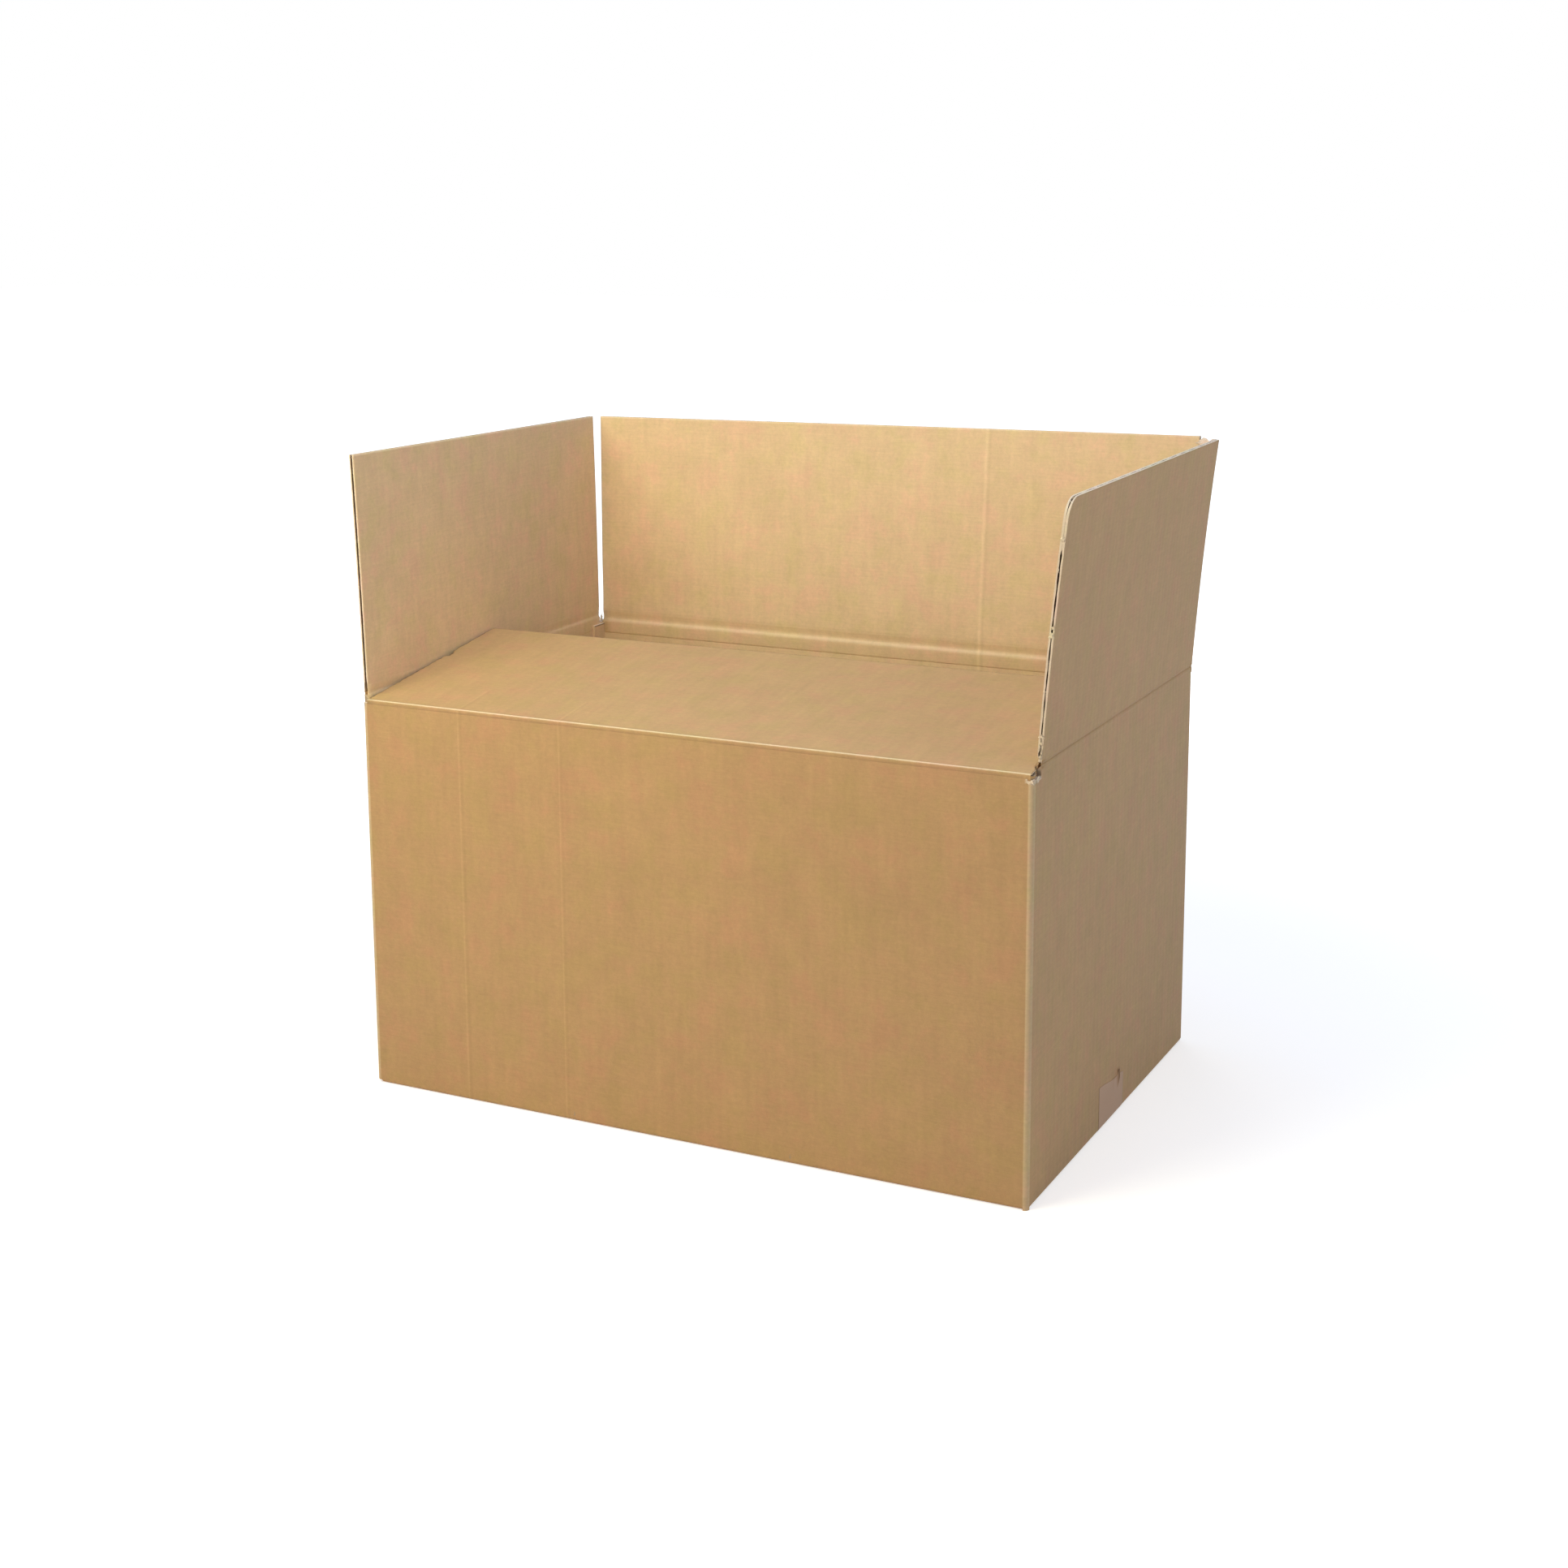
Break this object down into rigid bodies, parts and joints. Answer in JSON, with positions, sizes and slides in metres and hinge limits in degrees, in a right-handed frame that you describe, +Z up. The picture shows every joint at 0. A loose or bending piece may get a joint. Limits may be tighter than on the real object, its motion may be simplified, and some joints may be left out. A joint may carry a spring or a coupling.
{
  "type": "single wall cardboard box",
  "caption": "Open kraft corrugated box with four hinged top flaps and a taped bottom.",
  "frame": {"origin": "on the floor, under the middle of the box", "axes": "+X along the long walls, +Y from the folded-in front flap to the back, +Z up"},
  "size_m": [0.4811, 0.3205, 0.4244],
  "materials": {
    "board": "matte",
    "tape": "satin"
  },
  "bodies": {
    "body": {"box_body": "board", "bottom_tape": "tape"},
    "front": {"front_flap": "board"},
    "back": {"back_flap": "board"},
    "left": {"left_flap": "board"},
    "right": {"right_flap": "board"}
  },
  "joints": [
    {"name": "front_crease", "type": "hinge", "parent": "body", "child": "front", "pos_m": [0, -0.15565, 0.2645], "axis": [1, 0, 0], "range_deg": [-8, 250]},
    {"name": "back_crease", "type": "hinge", "parent": "body", "child": "back", "pos_m": [0, 0.15565, 0.2645], "axis": [-1, 0, 0], "range_deg": [-93.5, 166]},
    {"name": "left_crease", "type": "hinge", "parent": "body", "child": "left", "pos_m": [-0.23165, 0, 0.2675], "axis": [0, -1, 0], "range_deg": [-1.3, 168]},
    {"name": "right_crease", "type": "hinge", "parent": "body", "child": "right", "pos_m": [0.23165, 0, 0.2675], "axis": [0, 1, 0], "range_deg": [-5.4, 164]}
  ]
}
